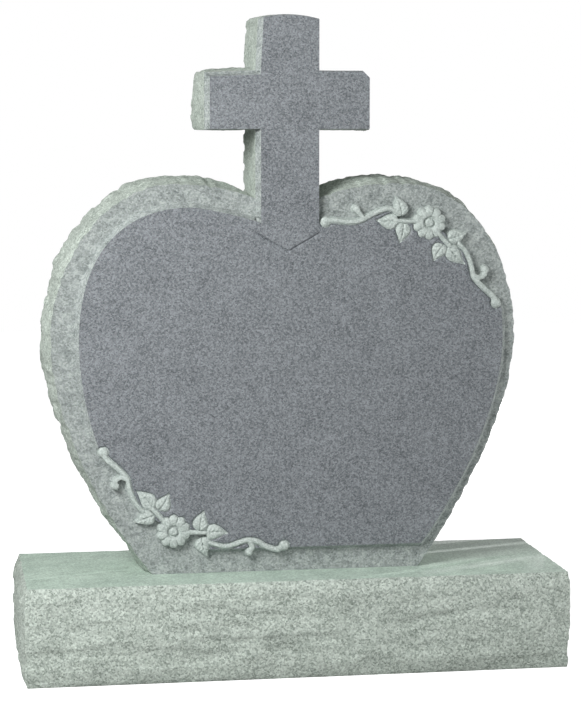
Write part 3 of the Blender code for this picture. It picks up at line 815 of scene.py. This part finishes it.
places = []
links = []
for loop in [step_foot, arris, panel, *outlines]:
    start = len(places)
    places += [tuple(p) for p in loop]
    links += [(start + i, start + (i + 1) % len(loop)) for i in range(len(loop))]
for path in grooves:
    start = len(places)
    places += [tuple(p) for p in resample(path + [path[-1]], OUTLINE_STEP)[0]]
    links += [(i, i + 1) for i in range(start, len(places) - 1)]
places += [tuple(p) for p in open_places] + [tuple(p) for p in fine]
verts, _, faces, origins, _, _ = geometry.delaunay_2d_cdt([Vector(p) for p in places], links,
                                                         [], 1, 1e-6)
verts = np.array([tuple(v) for v in verts])
height, _, gap = face_height(verts)
on_step_foot = np.array([min(came_from, default=len(step_foot)) < len(step_foot)
                         for came_from in origins])
height = np.where(on_step_foot & (gap > TRENCH_WIDTH), -MARGIN_DEPTH, height)
on_arris = path_distance(verts, list(arris) + [arris[0]]) < SAME_PLACE
height = np.where(on_arris, -MARGIN_DEPTH, height)
# The margin is dressed by hand with a point, so it is a little wavy
wavy = (height < -MARGIN_DEPTH + 1e-6) & ~on_arris & ~on_step_foot & (gap > 0.003)
waves = np.array([noise.noise(Vector((x / WAVE_CELL, 0, z / WAVE_CELL))) for x, z in verts])
height = np.where(wavy, height + WAVE_DEPTH * (waves - WAVE_MEAN), height)
mesh = bpy.data.meshes.new("carved_face")
corners = [(x, FRONT_Y - h, TABLET_FOOT + z) for (x, z), h in zip(verts, height)]
mesh.from_pydata(corners, [], faces)
carved_face = bpy.data.objects.new("carved_face", mesh)
bpy.context.scene.collection.objects.link(carved_face)

# Honed granite: ground smooth but not glossy, so its grey shows darker than the rough finishes
honed = granite("honed_granite", "#3e4347", "#8c9195", grain=0.0022, cloud_size=0.070,
                strengths=(0.65, 1.1, 0.35), roughness=0.50, relief=0.00005)
# Pointed granite: dressed with a hand point, which leaves blotches of bruised and clean stone
pointed = granite("pointed_granite", "#5c6463", "#b0b7b4", grain=0.0026, cloud_size=0.014,
                  strengths=(0.50, 0.8, 1.0), roughness=0.85, relief=0.0006)
for material in (honed, frosted, pointed):
    mesh.materials.append(material)
middles = np.array([tuple(f.center) for f in mesh.polygons])
finish = face_height(np.column_stack([middles[:, 0], middles[:, 2] - TABLET_FOOT]))[1]
mesh.polygons.foreach_set("material_index", finish.astype(np.int32))

bpy.ops.object.select_all(action="DESELECT")
carved_face.select_set(True)
tablet.select_set(True)
bpy.context.view_layer.objects.active = tablet
bpy.ops.object.join()
bpy.ops.object.mode_set(mode="EDIT")
bpy.ops.mesh.select_all(action="SELECT")
bpy.ops.mesh.remove_doubles(threshold=MERGE_REACH)
bpy.ops.mesh.normals_make_consistent(inside=False)
bpy.ops.object.mode_set(mode="OBJECT")
bpy.ops.object.shade_smooth_by_angle(angle=SHARP_ANGLE)

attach(tablet, "root")
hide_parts("heart_tablet")


# Studio
# A pale floor and a soft key light from the front left, as in the photograph.

bpy.ops.object.select_all(action="DESELECT")
bpy.ops.mesh.primitive_plane_add(size=12, location=(0, 0, -0.0005))
floor = bpy.context.object
floor.name = "studio_floor"
# Matt white paper: it is seen nearly white all over, and throws half its light back at the stone
paper = bpy.data.materials.new("matt_paper")
paper.use_nodes = True
sheet = paper.node_tree
sheet.nodes["Principled BSDF"].inputs["Base Color"].default_value = linear("#b8b8b8")
sheet.nodes["Principled BSDF"].inputs["Roughness"].default_value = 0.9
sheet.nodes["Principled BSDF"].inputs["Emission Color"].default_value = linear("#ffffff")
seen = add_node(sheet, "ShaderNodeLightPath").outputs["Is Camera Ray"]
lift = add_node(sheet, "ShaderNodeMapRange", links={"Value": seen}, To_Min=0.0, To_Max=0.95)
sheet.links.new(lift.outputs["Result"], sheet.nodes["Principled BSDF"].inputs["Emission Strength"])
floor.data.materials.append(paper)

scene = bpy.context.scene
scene.view_settings.view_transform = "Standard"
world = bpy.data.worlds.new("studio")
scene.world = world
world.use_nodes = True
sky = world.node_tree
# The backdrop is seen white, and lights the stone more softly than it looks
seen = add_node(sky, "ShaderNodeLightPath").outputs["Is Camera Ray"]
power = add_node(sky, "ShaderNodeMapRange", links={"Value": seen}, To_Min=0.18, To_Max=1.0)
sky.links.new(power.outputs["Result"], sky.nodes["Background"].inputs["Strength"])
sky.nodes["Background"].inputs["Color"].default_value = linear("#ffffff")


def soft_lamp(name, place, aim, size, power):
    """Round area light at a place in metres, aimed at another, of a width and a power in watts."""
    bpy.ops.object.light_add(type="AREA", location=place)
    light = bpy.context.object
    light.name = name
    light.data.shape = "DISK"
    light.data.size = size
    light.data.energy = power
    light.rotation_euler = (Vector(aim) - Vector(place)).to_track_quat("-Z", "Y").to_euler()


# A near key from the front left, which falls off across the face, a weak fill by the camera, a
# low light from the right that grazes the face and reaches into its right-hand step, and one behind
soft_lamp("key_light", (-1.4, -1.4, 1.65), (0, 0, 0.5), 1.2, 60)
soft_lamp("fill_light", (-0.4, -3.8, 1.4), (0, 0, 0.5), 1.6, 28)
soft_lamp("side_light", (2.6, -0.45, 0.28), (0.3, 0, 0.40), 0.5, 28)
soft_lamp("back_light", (1.3, 3.4, 0.45), (0, 0, 0.5), 0.8, 30)

# Camera at the photograph's place: level with the heart's top, left of the middle, tilted down
CAMERA_PLACE = (-0.589, -3.6754, 0.925)
CAMERA_AZIMUTH = math.radians(9.17)
CAMERA_TILT = math.radians(5.99)
CAMERA_LENS = 2181.4 / 701 * 36

bpy.ops.object.camera_add(location=CAMERA_PLACE)
camera = bpy.context.object
aim = Vector((math.sin(CAMERA_AZIMUTH) * math.cos(CAMERA_TILT),
              math.cos(CAMERA_AZIMUTH) * math.cos(CAMERA_TILT), -math.sin(CAMERA_TILT)))
camera.rotation_euler = aim.to_track_quat("-Z", "Y").to_euler()
camera.data.sensor_width = 36
camera.data.lens = CAMERA_LENS
scene.camera = camera
